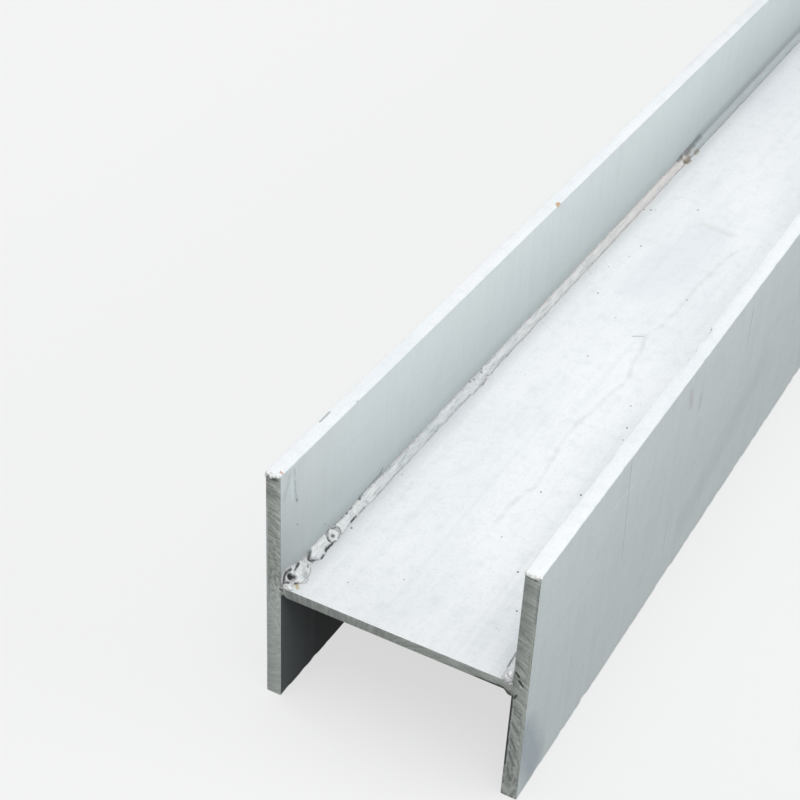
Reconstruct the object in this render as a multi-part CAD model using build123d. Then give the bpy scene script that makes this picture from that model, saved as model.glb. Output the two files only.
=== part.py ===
from build123d import *
import os
from math import cos, radians, sin

# Welded H-beam, lying with its web level and its two flanges upright.
# X runs along the length, Y across the web and Z up, in millimetres.
# The origin is at ground level under the middle of the beam.
# Three plates are joined by four fillet welds, and the saw cut both ends square.

# Plates
beam_length = 3000.0
section_depth = 200.0
flange_width = 200.0
flange_thickness = 12.0
web_thickness = 8.0
flange_edge_radius = 1.0
root_gap = 0.5
web_bevel = 3.5

# Fillet welds: a leg is measured along a plate, from the corner to the toe
weld_leg = 6.5
weld_crown = 0.8
lower_left_setback = 16.0
crater_radius = 4.0
crater_depth = 1.5

# Short runs laid by hand over the tack zone at the near end, then long runs to the far end
tack_zone = 110.0
lump_length = 36.0
lump_leg_share = 1.25

# A run swells from its neck over the nose and fades over the tail, all as shares of its own leg
neck_leg_share = 0.78
nose_share = 0.3
tail_share = 1.1

# Where each short run stops, as a share of the tack zone, and its leg as a share of the weld leg
top_left_tack_shares = [(0.29, 1.38), (0.52, 1.20), (0.66, 1.14), (1.0, 0.90)]
top_right_tack_shares = [(0.31, 1.38), (0.98, 1.12)]
bottom_left_tack_shares = [(0.57, 0.95), (0.98, 1.08)]
bottom_right_tack_shares = [(0.52, 0.92), (0.96, 1.05)]

# Where each long run stops, as a share of the length beyond the tack zone, and its leg
top_left_long_shares = [(0.222, 1.00), (0.492, 0.94), (0.748, 1.03), (1.0, 0.97)]
top_right_long_shares = [(0.262, 0.96), (0.511, 1.02), (0.770, 0.94), (1.0, 1.00)]
bottom_left_long_shares = [(0.228, 1.03), (0.470, 0.97), (0.731, 1.00), (1.0, 0.95)]
bottom_right_long_shares = [(0.251, 0.95), (0.523, 1.00), (0.759, 1.04), (1.0, 0.98)]

# Craters that were left open: place in the tack zone, leg of the run there and depth, all as shares
top_left_crater_shares = [(0.07, 1.38, 2.0), (0.57, 1.14, 0.7)]

# Worked out from the sizes above
near_end = -beam_length / 2
far_end = beam_length / 2
flange_inner = section_depth / 2 - flange_thickness
web_middle = flange_width / 2
web_top = web_middle + web_thickness / 2
web_bottom = web_middle - web_thickness / 2
corner_angle = radians(45)


def web_plate():
    """Flat plate that stands off each flange by the root gap, bevelled along its lower left edge."""
    half_width = flange_inner - root_gap
    outline = Polyline(
        (-half_width, web_top),
        (half_width, web_top),
        (half_width, web_bottom + web_bevel),
        (half_width - web_bevel, web_bottom),
        (-half_width, web_bottom),
        close=True,
    )
    return extrude(Plane.YZ.offset(near_end) * make_face(outline), beam_length)


def flange_plate(side):
    """Upright plate with its four long arrises eased: side is 1 on the left and -1 on the right."""
    outline = RectangleRounded(flange_thickness, flange_width, flange_edge_radius)
    middle = side * (flange_inner + flange_thickness / 2)
    section = Plane.YZ.offset(near_end) * Pos(middle, web_middle) * outline
    return extrude(section, beam_length)


def bead_section(x, leg, bevel):
    """Fillet in a corner at y = 0 and z = 0, with the web towards -Y and the flange towards +Z."""
    web_leg = leg + bevel
    crown = leg / weld_leg * weld_crown * sin(corner_angle)
    face = ThreePointArc((-web_leg, 0), (-web_leg / 2 - crown, leg / 2 + crown), (0, leg))
    root = [(0, -bevel), (-root_gap, -bevel), (-root_gap - bevel, 0)] if bevel else [(0, 0)]
    sides = Polyline((0, leg), *root, (-web_leg, 0))
    return Plane.YZ.offset(x) * make_face(face + sides)


def weld_runs(setback, tack_shares, long_shares):
    """Start, stop and leg of every run, with a lump where one long run takes over from another."""
    runs = []
    start = near_end + setback
    for stop_share, leg_share in tack_shares:
        stop = near_end + stop_share * tack_zone
        runs.append((start, stop, leg_share * weld_leg))
        start = stop
    for stop_share, leg_share in long_shares:
        stop = near_end + tack_zone + stop_share * (beam_length - tack_zone)
        runs.append((start, stop, leg_share * weld_leg))
        if stop_share < 1:
            runs.append((stop, stop + lump_length, lump_leg_share * weld_leg))
            stop += lump_length
        start = stop
    return runs


def bead(runs, bevel):
    """Runs laid end to end: each has a blunt nose and a fading tail, unless the saw went through it."""
    sections = []
    for start, stop, leg in runs:
        middle = (start + stop) / 2
        neck = neck_leg_share * leg
        if start > near_end and not sections:
            sections.append(bead_section(start, neck, bevel))
        nose = 0 if start == near_end else min(nose_share * leg, nose_share * (middle - start))
        sections.append(bead_section(start + nose, leg, bevel))
        tail = 0 if stop == far_end else min(tail_share * leg, stop - middle)
        sections.append(bead_section(stop - tail, leg, bevel))
        if stop < far_end:
            sections.append(bead_section(stop, neck, bevel))
    return loft(sections, ruled=True)


def crater(place_share, leg_share, depth_share):
    """Ball that dishes the face of a run where the arc was broken off."""
    face = leg_share * (weld_leg * cos(corner_angle) + weld_crown)
    reach = face + crater_radius - depth_share * crater_depth
    middle = (near_end + place_share * tack_zone, -reach * sin(corner_angle), reach * cos(corner_angle))
    return Pos(middle) * Sphere(crater_radius)


def fillet_weld(side, level, tack_shares, long_shares, crater_shares=(), setback=0, bevel=0):
    """The metal of one corner: side is 1 on the left, level is 1 above the web."""
    metal = bead(weld_runs(setback, tack_shares, long_shares), bevel)
    for shares in crater_shares:
        metal -= crater(*shares)
    if side != level:
        metal = mirror(metal, Plane.XZ)
    if level < 0:
        metal = Rot(X=180) * metal
    return Pos(0, side * flange_inner, web_top if level > 0 else web_bottom) * metal


pieces = {
    "web_plate": web_plate(),
    "flange_plate_left": flange_plate(1),
    "flange_plate_right": flange_plate(-1),
    "fillet_weld_top_left": fillet_weld(
        1, 1, top_left_tack_shares, top_left_long_shares, top_left_crater_shares
    ),
    "fillet_weld_top_right": fillet_weld(-1, 1, top_right_tack_shares, top_right_long_shares),
    "fillet_weld_bottom_left": fillet_weld(
        1, -1, bottom_left_tack_shares, bottom_left_long_shares, setback=lower_left_setback, bevel=web_bevel
    ),
    "fillet_weld_bottom_right": fillet_weld(-1, -1, bottom_right_tack_shares, bottom_right_long_shares),
}

os.makedirs("parts", exist_ok=True)
for name, piece in pieces.items():
    export_step(piece, f"parts/{name}.step")
    print(name, len(piece.solids()), round(piece.volume), piece.is_valid)
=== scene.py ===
# %% [markdown]
# # A welded H-beam
# The beam is three flat plates: a level web between two upright flanges. Four fillet welds hold
# them together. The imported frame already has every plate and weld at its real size, so this
# lesson dresses them: worn edges, bare saw cuts, rippled weld metal, burrs, stains and spatter.
# It works in metres, with X along the beam, Y across the web and Z up.

# %% Load the frame
import random
from math import cos, exp, pi, radians, sin, sqrt

import bmesh
import bpy
from mathutils import Matrix, Vector, noise


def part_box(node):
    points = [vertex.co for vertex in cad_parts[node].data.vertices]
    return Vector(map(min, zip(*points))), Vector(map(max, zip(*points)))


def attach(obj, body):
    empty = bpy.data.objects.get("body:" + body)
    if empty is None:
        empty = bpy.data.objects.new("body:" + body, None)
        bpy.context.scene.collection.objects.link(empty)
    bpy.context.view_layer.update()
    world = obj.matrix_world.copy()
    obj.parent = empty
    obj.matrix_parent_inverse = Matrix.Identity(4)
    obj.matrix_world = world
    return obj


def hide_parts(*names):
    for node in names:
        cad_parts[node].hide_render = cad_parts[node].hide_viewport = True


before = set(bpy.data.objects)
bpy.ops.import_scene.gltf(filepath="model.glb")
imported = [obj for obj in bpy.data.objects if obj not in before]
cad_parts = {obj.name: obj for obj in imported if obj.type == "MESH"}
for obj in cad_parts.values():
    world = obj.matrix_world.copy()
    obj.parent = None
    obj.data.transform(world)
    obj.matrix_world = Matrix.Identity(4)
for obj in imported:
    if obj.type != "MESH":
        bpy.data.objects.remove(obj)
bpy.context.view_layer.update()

print("frame nodes:", sorted(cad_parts))

# %% [markdown]
# ## Sizes
# Nothing is measured twice. The plates' boxes come from the frame, and the few sizes that belong
# to the finish, such as a burr or a ripple, are named where they are first used. A helper turns
# millimetres to metres, because a fabricator thinks in millimetres.

# %% Read the beam's main sizes from the frame
mm = 0.001
web_low, web_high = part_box("web_plate")
left_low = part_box("flange_plate_left")[0]
near_end, far_end = web_low.x, web_high.x
flange_inner = left_low.y
print("length", round(far_end - near_end, 3), "clear width", round(2 * flange_inner, 4))


def from_end(x, y, z):
    """A point given in millimetres: x from the near sawn end, y from the middle, z from the ground."""
    return Vector((near_end + x * mm, y * mm, z * mm))


# %% [markdown]
# ## The camera
# The photograph looks down along the beam from the right of its near end. Five numbers say where
# the camera stands and how it is turned. Its axes are worked out from them and become the columns
# of its matrix, which avoids guessing at Euler angles.

# %% Place the camera
camera_azimuth = radians(-62.63)
camera_elevation = radians(35.39)
camera_roll = radians(2.87)
camera_place = from_end(-732.3, -375.3, 879.0)
camera_lens_mm = 75.9
sensor_width_mm = 36
view_reach = 200

camera_back = Vector((
    sin(camera_azimuth) * cos(camera_elevation),
    -cos(camera_azimuth) * cos(camera_elevation),
    sin(camera_elevation),
))
level_right = Vector((cos(camera_azimuth), sin(camera_azimuth), 0))
camera_right = Matrix.Rotation(camera_roll, 3, camera_back) @ level_right
camera_up = camera_back.cross(camera_right)

camera = bpy.data.objects.new("camera", bpy.data.cameras.new("camera"))
camera.data.lens = camera_lens_mm
camera.data.sensor_width = sensor_width_mm
camera.data.clip_end = view_reach
camera.matrix_world = Matrix.Translation(camera_place) @ Matrix(
    (camera_right, camera_up, camera_back)
).transposed().to_4x4()
bpy.context.scene.collection.objects.link(camera)
bpy.context.scene.camera = camera
bpy.context.scene.view_settings.view_transform = "Standard"
print("camera at", [round(c, 3) for c in camera.location])

# %% [markdown]
# ## Two helpers for materials
# Colours are written as sRGB hex, as a painter's chart gives them, and Blender's nodes want them
# linear. One function adds a node, sets its inputs and links it, so that a material reads as a
# list of steps.


# %% Write the colour and node helpers
def paint(hex_code, alpha=1.0):
    """Turns an sRGB hex code to the linear colour that nodes use."""
    channels = [int(hex_code[i:i + 2], 16) / 255 for i in (1, 3, 5)]
    linear = [c / 12.92 if c <= 0.04045 else ((c + 0.055) / 1.055) ** 2.4 for c in channels]
    return (*linear, alpha)


def add(tree, kind, inputs=None, **settings):
    """Adds a node. An input that is a socket gets a link, and any other gets the value."""
    node = tree.nodes.new("ShaderNode" + kind)
    for name, value in settings.items():
        setattr(node, name, value)
    for name, value in (inputs or {}).items():
        if isinstance(value, bpy.types.NodeSocket):
            tree.links.new(value, node.inputs[name])
        else:
            node.inputs[name].default_value = value
    return node


def new_material(name):
    """An empty node material and its tree."""
    material = bpy.data.materials.new(name)
    material.use_nodes = True
    material.node_tree.nodes.clear()
    return material, material.node_tree


print("pure white is", paint("#FFFFFF"), "and mid grey is", round(paint("#808080")[0], 3))

# %% [markdown]
# ## Floor and light
# The beam was photographed outdoors under a bright overcast sky, so its tops read almost white,
# its sides a step darker and the space under the web nearly black. A world that brightens with
# height gives the sky, a wide soft lamp overhead lifts the tops, and low soft lamps at both sides
# and at the near end keep the upright faces readable. The floor shows pale to the camera, and
# stays dark for the light that bounces off it, as the ground of a yard would.

# %% Light the scene and lay the floor
horizon_strength = 0.04
zenith_strength = 1.40
sky_steepness = 3.0
background_shade = "#F2F2F2"
floor_seen = ("Is Camera Ray", "Is Glossy Ray", "Is Transmission Ray")
floor_half_size = 30.0
floor_glow_share = 0.75
soft_lamps = [
    # name, direction that the light comes from, strength, angle across
    ("overhead_softbox", (-0.30, -0.18, 1.0), 1.03, 50),
    ("right_softbox", (0.35, -1.0, 0.30), 1.25, 30),
    ("left_softbox", (0.35, 1.0, 0.30), 0.80, 30),
    ("near_end_softbox", (-1.0, 0.0, 0.15), 0.35, 20),
]


def seen_directly(tree):
    """One where a ray is the camera's own, or comes off metal or glass."""
    path = add(tree, "LightPath")
    both = add(tree, "Math", {0: path.outputs[floor_seen[0]], 1: path.outputs[floor_seen[1]]},
               operation="MAXIMUM")
    every = add(tree, "Math", {0: both.outputs[0], 1: path.outputs[floor_seen[2]]},
                operation="MAXIMUM")
    return every.outputs[0]


world = bpy.data.worlds.new("overcast_sky")
world.use_nodes = True
sky = world.node_tree
sky.nodes.clear()
direction = add(sky, "TexCoord")
height = add(sky, "SeparateXYZ", {0: direction.outputs["Generated"]})
above = add(sky, "Clamp", {"Value": height.outputs["Z"]})
steep = add(sky, "Math", {0: above.outputs[0], 1: sky_steepness}, operation="POWER")
strength = add(sky, "MapRange", {
    "Value": steep.outputs[0], "From Min": 0.0, "From Max": 1.0,
    "To Min": horizon_strength, "To Max": zenith_strength,
})
daylight = add(sky, "Background", {"Color": paint("#FAFDFF"), "Strength": strength.outputs[0]})
backdrop = add(sky, "Background", {"Color": paint(background_shade), "Strength": 1.0})
sky_mix = add(sky, "MixShader", {0: seen_directly(sky), 1: daylight.outputs[0], 2: backdrop.outputs[0]})
add(sky, "OutputWorld", {"Surface": sky_mix.outputs[0]})
bpy.context.scene.world = world

for name, direction_from, lamp_strength, angle_across in soft_lamps:
    lamp = bpy.data.objects.new(name, bpy.data.lights.new(name, "SUN"))
    lamp.data.energy = lamp_strength
    lamp.data.angle = radians(angle_across)
    lamp.rotation_euler = Vector(direction_from).to_track_quat("Z", "Y").to_euler()
    bpy.context.scene.collection.objects.link(lamp)

floor_material, tree = new_material("pale_floor")
lit = add(tree, "BsdfDiffuse", {"Color": paint(background_shade)})
glow = add(tree, "Emission", {"Color": paint(background_shade), "Strength": 1.0})
shown = add(tree, "MixShader", {0: floor_glow_share, 1: lit.outputs[0], 2: glow.outputs[0]})
bounce = add(tree, "BsdfDiffuse", {"Color": paint("#3C3C3A")})
floor_mix = add(tree, "MixShader", {0: seen_directly(tree), 1: bounce.outputs[0], 2: shown.outputs[0]})
add(tree, "OutputMaterial", {"Surface": floor_mix.outputs[0]})

shape = bmesh.new()
bmesh.ops.create_grid(shape, x_segments=1, y_segments=1, size=floor_half_size)
floor_mesh = bpy.data.meshes.new("floor")
shape.to_mesh(floor_mesh)
shape.free()
floor = bpy.data.objects.new("floor", floor_mesh)
floor.data.materials.append(floor_material)
bpy.context.scene.collection.objects.link(floor)
print("floor", 2 * floor_half_size, "m wide,", len(soft_lamps), "soft lamps")

# %% [markdown]
# ## Patterns
# Every finish here is noise or a mark. Noise is stretched so that its features have a real size
# in millimetres. A mark is a short line or a spot at one place on the beam, such as a scratch or
# a stain. Both are laid over the colour below in the same way: a range of the pattern becomes a
# share of the new shade. All of them read Object coordinates, which are metres here.

# %% Write the pattern helpers
mark_core_share = 0.15
trace_core_share = 0.10
broken_from, broken_to = 0.12, 0.45


def stretched_noise(tree, place, size_mm, detail=3.0, rough=0.55):
    """Noise whose features measure size_mm along X, Y and Z."""
    scale = [1 / (size * mm) for size in size_mm]
    spread = add(tree, "VectorMath", {0: place, 1: scale}, operation="MULTIPLY")
    pattern = add(tree, "TexNoise", {
        "Vector": spread.outputs[0], "Scale": 1.0, "Detail": detail, "Roughness": rough,
    })
    return pattern.outputs["Fac"]


def laid_over(tree, under, shade, pattern, low, high, depth):
    """Lays a shade over a colour: none of it where the pattern is low, depth of it where it is high."""
    share = add(tree, "MapRange", {
        "Value": pattern, "From Min": low, "From Max": high, "To Min": 0.0, "To Max": depth,
    })
    mixed = add(tree, "Mix", {0: share.outputs[0], 6: under, 7: paint(shade)}, data_type="RGBA")
    return mixed.outputs[2]


def with_layers(tree, colour, layers):
    """Lays several shades over a colour: each has a shade, its pattern, the range of it and a depth."""
    for layer in layers:
        colour = laid_over(tree, colour, *layer)
    return colour


def near_line(tree, place, start, stop, width_mm):
    """One on the line from start to stop, and nothing beyond half its width. It may be a spot."""
    along = stop - start
    slope = along / max(along.length_squared, mm ** 2)
    offset = add(tree, "VectorMath", {0: place, 1: start}, operation="SUBTRACT")
    share = add(tree, "VectorMath", {0: offset.outputs[0], 1: slope}, operation="DOT_PRODUCT")
    kept = add(tree, "Clamp", {"Value": share.outputs["Value"]})
    foot = add(tree, "VectorMath", {0: along, "Scale": kept.outputs[0]}, operation="SCALE")
    gap = add(tree, "VectorMath", {0: offset.outputs[0], 1: foot.outputs[0]}, operation="DISTANCE")
    edge, core = 0.5 * width_mm * mm, mark_core_share * width_mm * mm
    fade = add(tree, "MapRange", {"Value": gap.outputs["Value"], "From Min": edge, "From Max": core})
    return fade.outputs[0]


def shaken(tree, place, size_mm, shift_mm):
    """The place with a small random shift, which gives a mark a ragged outline."""
    spread = add(tree, "VectorMath", {0: place, "Scale": 1 / (size_mm * mm)}, operation="SCALE")
    drift = add(tree, "TexNoise", {"Vector": spread.outputs[0], "Scale": 1.0, "Detail": 2.0})
    centred = add(tree, "VectorMath", {0: drift.outputs["Color"], 1: (0.5, 0.5, 0.5)},
                  operation="SUBTRACT")
    moved = add(tree, "VectorMath", {0: centred.outputs[0], 1: [2 * shift_mm * mm] * 3, 2: place},
                operation="MULTIPLY_ADD")
    return moved.outputs[0]


def with_marks(tree, colour, place, marks, broken_by=None):
    """Lays a list of marks over a colour: each has a start, a stop, a width, a shade and a depth."""
    for start, stop, width_mm, shade, depth in marks:
        line = near_line(tree, place, from_end(*start), from_end(*stop), width_mm)
        low, high = 0.0, 1.0
        if broken_by:
            line = add(tree, "Math", {0: line, 1: broken_by}, operation="MULTIPLY").outputs[0]
            low, high = broken_from, broken_to
        colour = laid_over(tree, colour, shade, line, low, high, depth)
    return colour


def near_trace(tree, place, trace, width_mm):
    """One on a wandering line over the web, given as places along and across in millimetres."""
    xs = [near_end + x * mm for x, y in trace]
    ys = [y * mm for x, y in trace]
    low, span = min(ys), max(ys) - min(ys)
    axes = add(tree, "SeparateXYZ", {0: place})
    share = add(tree, "MapRange", {0: axes.outputs["X"], 1: xs[0], 2: xs[-1]})
    drawn = add(tree, "FloatCurve", {"Value": share.outputs[0]})
    curve = drawn.mapping.curves[0]
    for x, y in zip(xs[1:-1], ys[1:-1]):
        curve.points.new((x - xs[0]) / (xs[-1] - xs[0]), (y - low) / span)
    curve.points[0].location.y = (ys[0] - low) / span
    curve.points[len(curve.points) - 1].location.y = (ys[-1] - low) / span
    drawn.mapping.update()
    line = add(tree, "Math", {0: drawn.outputs[0], 1: span, 2: low}, operation="MULTIPLY_ADD")
    gap = add(tree, "Math", {0: axes.outputs["Y"], 1: line.outputs[0]}, operation="SUBTRACT")
    distance = add(tree, "Math", {0: gap.outputs[0]}, operation="ABSOLUTE")
    edge, core = 0.5 * width_mm * mm, trace_core_share * width_mm * mm
    close = add(tree, "MapRange", {0: distance.outputs[0], 1: edge, 2: core})
    first = add(tree, "Math", {0: axes.outputs["X"], 1: xs[0]}, operation="GREATER_THAN")
    last = add(tree, "Math", {0: axes.outputs["X"], 1: xs[-1]}, operation="LESS_THAN")
    within = add(tree, "Math", {0: first.outputs[0], 1: last.outputs[0]}, operation="MULTIPLY")
    drawn_part = add(tree, "Math", {0: close.outputs[0], 1: within.outputs[0]}, operation="MULTIPLY")
    return drawn_part.outputs[0]


print("pattern helpers ready")

# %% [markdown]
# ## The plate skin
# The plates are mill-finish aluminium with the dull oxide that grows in a yard. The oxide is a
# chalky layer, not bare metal, so the skin is hardly metallic. Level faces are painted whiter and
# upright faces a cooler grey: painted light on the tops and painted shade on the sides, over the
# oxide's own colour. Over that lie clouds of oxide a hand wide, lines from rolling, vertical
# brushing from handling and grains of pitting. Each plate adds the stains, scratches and specks
# that the real one has at known places; the right flange also gets painted shade over its nicks
# and a darker patch towards the bottom by its near corner. Each of these has its start, its stop
# and its width in millimetres, then its shade and how much of that shade is laid on. Real pits
# would be too fine to show, so the grains are drawn nearly two millimetres across. Inside the
# channel under the web the faces are painted darker, as painted shade.

# %% Make the oxidised plate material
# Painted shade: the channel under the web is painted darker, darker still away from the near end.
channel_painted_shade = "#979FA3"
deep_channel_painted_shade = "#2B2D2E"
channel_shade_depth, smut_depth, dull_depth = 0.85, 0.28, 0.15
shelter_drop = 2 * mm
dull_from, dull_to = near_end + 650 * mm, near_end + 950 * mm
halo_edge, halo_core, halo_waver = 24 * mm, 12 * mm, 12 * mm
deep_shade_from, deep_shade_to = 2 * mm, 60 * mm
sheen_open, sheen_sheltered = 0.30, 0.04


def plate_skin(name, upright_oxide_and_shade, level_oxide_and_light, stains, scratches, scuffs=(), traces=()):
    """The oxidised skin of one plate, with its own marks."""
    material, tree = new_material("oxidised_mill_aluminium_" + name)
    spot = add(tree, "TexCoord")
    place = spot.outputs["Object"]
    facing = add(tree, "SeparateXYZ", {0: spot.outputs["Normal"]})
    level = add(tree, "Math", {0: facing.outputs["Z"]}, operation="ABSOLUTE")
    clouds = stretched_noise(tree, place, (170, 60, 60))
    grain = stretched_noise(tree, place, (1.8, 1.8, 1.8), detail=4.0, rough=0.7)
    brushing = stretched_noise(tree, place, (3.0, 3.0, 90), detail=3.0)
    rolling = stretched_noise(tree, place, (260, 6, 6), detail=2.0)
    mottle = stretched_noise(tree, place, (12, 12, 34), detail=4.0)
    # Level faces get the lighter colour and upright faces the greyer one: painted light and painted
    # shade.
    colour = add(tree, "Mix", {
        0: level.outputs[0], 6: paint(upright_oxide_and_shade), 7: paint(level_oxide_and_light),
    }, data_type="RGBA").outputs[2]
    colour = with_layers(tree, colour, [
        ("#D3DBDF", clouds, 0.42, 0.70, 0.26),
        ("#A7B4B8", brushing, 0.48, 0.75, 0.08),
        ("#BFC8CC", rolling, 0.52, 0.80, 0.12),
        ("#B3BDC0", mottle, 0.50, 0.72, 0.12),
        ("#A9B1B3", grain, 0.54, 0.74, 0.30),
    ])
    axes = add(tree, "SeparateXYZ", {0: place})
    colour = laid_over(tree, colour, "#B2B9C1", axes.outputs["X"], dull_from, dull_to, dull_depth)
    sideways = add(tree, "Math", {0: axes.outputs["Y"]}, operation="ABSOLUTE").outputs[0]
    corner = add(tree, "CombineXYZ", {"Y": sideways, "Z": axes.outputs["Z"]})
    from_corner = add(tree, "VectorMath", {0: corner.outputs[0], 1: (0, flange_inner, web_high.z)},
                      operation="DISTANCE")
    between = add(tree, "Math", {0: sideways, 1: flange_inner + mm}, operation="LESS_THAN")
    wavering = add(tree, "Math", {0: mottle, 1: halo_waver, 2: from_corner.outputs["Value"]},
                   operation="MULTIPLY_ADD")
    beside_weld = add(tree, "MapRange", {0: wavering.outputs[0], 1: halo_edge, 2: halo_core})
    smutty = add(tree, "Math", {0: beside_weld.outputs[0], 1: between.outputs[0]}, operation="MULTIPLY")
    colour = laid_over(tree, colour, "#A9AFB1", smutty.outputs[0], 0.0, 1.0, smut_depth)
    # Painted shade inside the channel under the web, deepening away from the near end.
    below_web = add(tree, "Math", {0: axes.outputs["Z"], 1: web_high.z - shelter_drop},
                    operation="LESS_THAN")
    sheltered = add(tree, "Math", {0: below_web.outputs[0], 1: between.outputs[0]}, operation="MULTIPLY")
    colour = laid_over(tree, colour, channel_painted_shade, sheltered.outputs[0], 0.0, 1.0, channel_shade_depth)
    inner = add(tree, "Math", {0: sheltered.outputs[0], 1: axes.outputs["X"], 2: -near_end},
                operation="MULTIPLY_ADD")
    deep = add(tree, "Math", {0: inner.outputs[0], 1: sheltered.outputs[0]}, operation="MULTIPLY")
    colour = laid_over(tree, colour, deep_channel_painted_shade, deep.outputs[0], deep_shade_from, deep_shade_to, channel_shade_depth)
    colour = with_marks(tree, colour, shaken(tree, place, 2.4, 2.2), stains)
    colour = with_marks(tree, colour, shaken(tree, place, 3.0, 0.5), scratches)
    colour = with_marks(tree, colour, shaken(tree, place, 6.0, 1.5), scuffs, broken_by=grain)
    for trace, width_mm, shade, depth in traces:
        drawn = near_trace(tree, shaken(tree, place, 5.0, 1.2), trace, width_mm)
        broken = add(tree, "Math", {0: drawn, 1: mottle}, operation="MULTIPLY")
        colour = laid_over(tree, colour, shade, broken.outputs[0], 0.25, 0.60, depth)
    relief = add(tree, "Bump", {"Strength": 0.30, "Distance": 0.0004, "Height": grain})
    sheen = add(tree, "MapRange", {
        "Value": sheltered.outputs[0], "To Min": sheen_open, "To Max": sheen_sheltered,
    })
    skin = add(tree, "BsdfPrincipled", {
        "Base Color": colour, "Metallic": 0.03, "Roughness": 0.58,
        "Specular IOR Level": sheen.outputs[0], "Normal": relief.outputs[0],
    })
    add(tree, "OutputMaterial", {"Surface": skin.outputs[0]})
    print(material.name, len(tree.nodes), "nodes,", len(stains) + len(scratches), "marks")
    return material


web_trace = [
    (139.4, -6.4), (168.3, -7.3), (180.7, -9.0), (201.1, -12.8), (216.9, -11.2), (236.5, -9.1),
    (269.8, -6.6), (303.2, -9.7), (339.5, -13.1), (358.3, -16.6), (387.2, -10.7), (409.9, -10.3),
    (429.9, -4.8), (447.6, -9.5), (503.1, -12.7), (548.2, -14.4), (612.3, -22.6),
]
web_skin = plate_skin("web", "#D5DFE0", "#F9F9FA", stains=[
    ((7.2, 80.3, 104), (5.6, 78.0, 104), 4.2, "#C4AA72", 0.75),
    ((7.8, 81.2, 104), (8.0, 81.4, 104), 2.4, "#4A4438", 0.90),
    ((500, 30.0, 104), (620, 10.0, 104), 60.0, "#DDE2E6", 0.30),
], scratches=[
    ((79.7, 79.1, 104), (80.2, 79.3, 104), 2.6, "#54504C", 0.85),
    ((28.7, -77.8, 104), (12.0, -78.7, 104), 1.7, "#5F5B56", 0.80),
    ((291.0, 80.2, 104), (300.0, 81.6, 104), 2.2, "#8A7C62", 0.80),
    ((278.0, 82.0, 104), (290.0, 80.6, 104), 1.6, "#A29684", 0.60),
    ((423.5, 4.4, 104), (428.1, -2.9, 104), 2.8, "#A9AFB1", 0.62),
    ((470.9, -48.8, 104), (472.0, -49.4, 104), 2.4, "#8B9092", 0.80),
    ((749, 81.4, 104), (757, 81.2, 104), 5.6, "#8E8266", 0.78),
    ((772, 81.2, 104), (781, 81.0, 104), 4.6, "#9B9384", 0.60),
    ((640, 24.0, 104), (635, -8.0, 104), 13.0, "#C4BFB8", 0.18),
], traces=[(web_trace, 9.0, "#BFC2C1", 0.23)])
left_skin = plate_skin("left", "#D1D8D8", "#F3F5F7", stains=[
    ((433, 89.0, 200), (436, 89.5, 200), 5.5, "#B98B3E", 0.85),
    ((3.4, 89.5, 200), (4.4, 90.5, 200), 3.2, "#B98A62", 0.85),
    ((99, 88.0, 200), (101, 88.4, 200), 3.0, "#6E6A60", 0.60),
    ((137.0, 88, 111.0), (140.0, 88, 114.5), 2.6, "#5D6466", 0.80),
    ((105.0, 88, 109.6), (136.0, 88, 111.2), 5.0, "#8B9698", 0.60),
    ((735, 88, 109.0), (800, 88, 112.0), 7.0, "#717D81", 0.80),
    ((790, 88, 111.0), (1250, 88, 111.0), 20.0, "#98A2A6", 0.34),
], scratches=[
    ((19.8, 88, 166.8), (20.4, 88, 165.8), 3.2, "#7A868A", 0.70),
    ((21.0, 88, 144.7), (21.3, 88, 144.5), 2.2, "#59625F", 0.75),
    ((65.0, 98, 200), (78.0, 98, 200), 2.2, "#70787A", 0.60),
    ((23.0, 88, 109.7), (12.6, 88, 111.7), 1.8, "#77827F", 0.50),
], scuffs=[
    ((16.4, 88, 195.0), (17.2, 88, 188.0), 3.6, "#8D9A9F", 0.38),
    ((17.4, 88, 184.0), (18.0, 88, 175.0), 4.0, "#86949A", 0.42),
    ((18.4, 88, 172.0), (19.6, 88, 167.0), 4.0, "#86949A", 0.45),
    ((10.7, 88, 194.0), (9.4, 88, 187.0), 6.0, "#9BA8AC", 0.28),
    ((7.4, 88, 184.5), (4.6, 88, 178.0), 7.0, "#9BA8AC", 0.28),
    ((13.0, 88, 188.0), (14.5, 88, 172.0), 6.0, "#DDE6E8", 0.45),
])
right_skin = plate_skin("right", "#D7E1E2", "#F3F5F7", stains=[
    ((257, -100, 184), (264, -100, 169), 11.0, "#A2958F", 0.25),
    ((287, -100, 164), (287, -100, 154), 10.0, "#98A3A8", 0.22),
    # A darker blue-grey patch towards the bottom by the near corner.
    ((0.5, -100, 60), (24.0, -100, 14.5), 44.0, "#8394A3", 0.50),
    ((300, -100, 40), (460, -100, 90), 50.0, "#C3CDCF", 0.35),
], scratches=[
    ((161.9, -100, 166.6), (120, -100, 171.6), 1.6, "#EDF3F4", 0.70),
    ((120, -100, 171.6), (80.8, -100, 175.2), 1.4, "#EDF3F4", 0.60),
    ((142.6, -100, 194), (153.2, -100, 101.3), 1.6, "#94A1A5", 0.50),
    ((253.7, -100, 66.4), (254.6, -100, 34.7), 1.6, "#94A1A5", 0.55),
    ((393.5, -100, 184.1), (396.3, -100, 143.9), 2.0, "#94A1A5", 0.50),
    # Painted shade over the three nicks in the upper inner edge, then a dark speck.
    ((262.0, -88.8, 199.6), (275.0, -89.2, 199.6), 3.4, "#CDD4D7", 0.55),
    ((281.0, -89.2, 199.6), (289.0, -89.2, 199.6), 3.0, "#D2D8DB", 0.50),
    ((304.0, -89.2, 199.6), (319.0, -89.6, 199.6), 3.4, "#CBD1D4", 0.50),
    ((320.6, -88.8, 199.6), (322.0, -88.9, 199.6), 2.4, "#85898B", 0.80),
])

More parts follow.
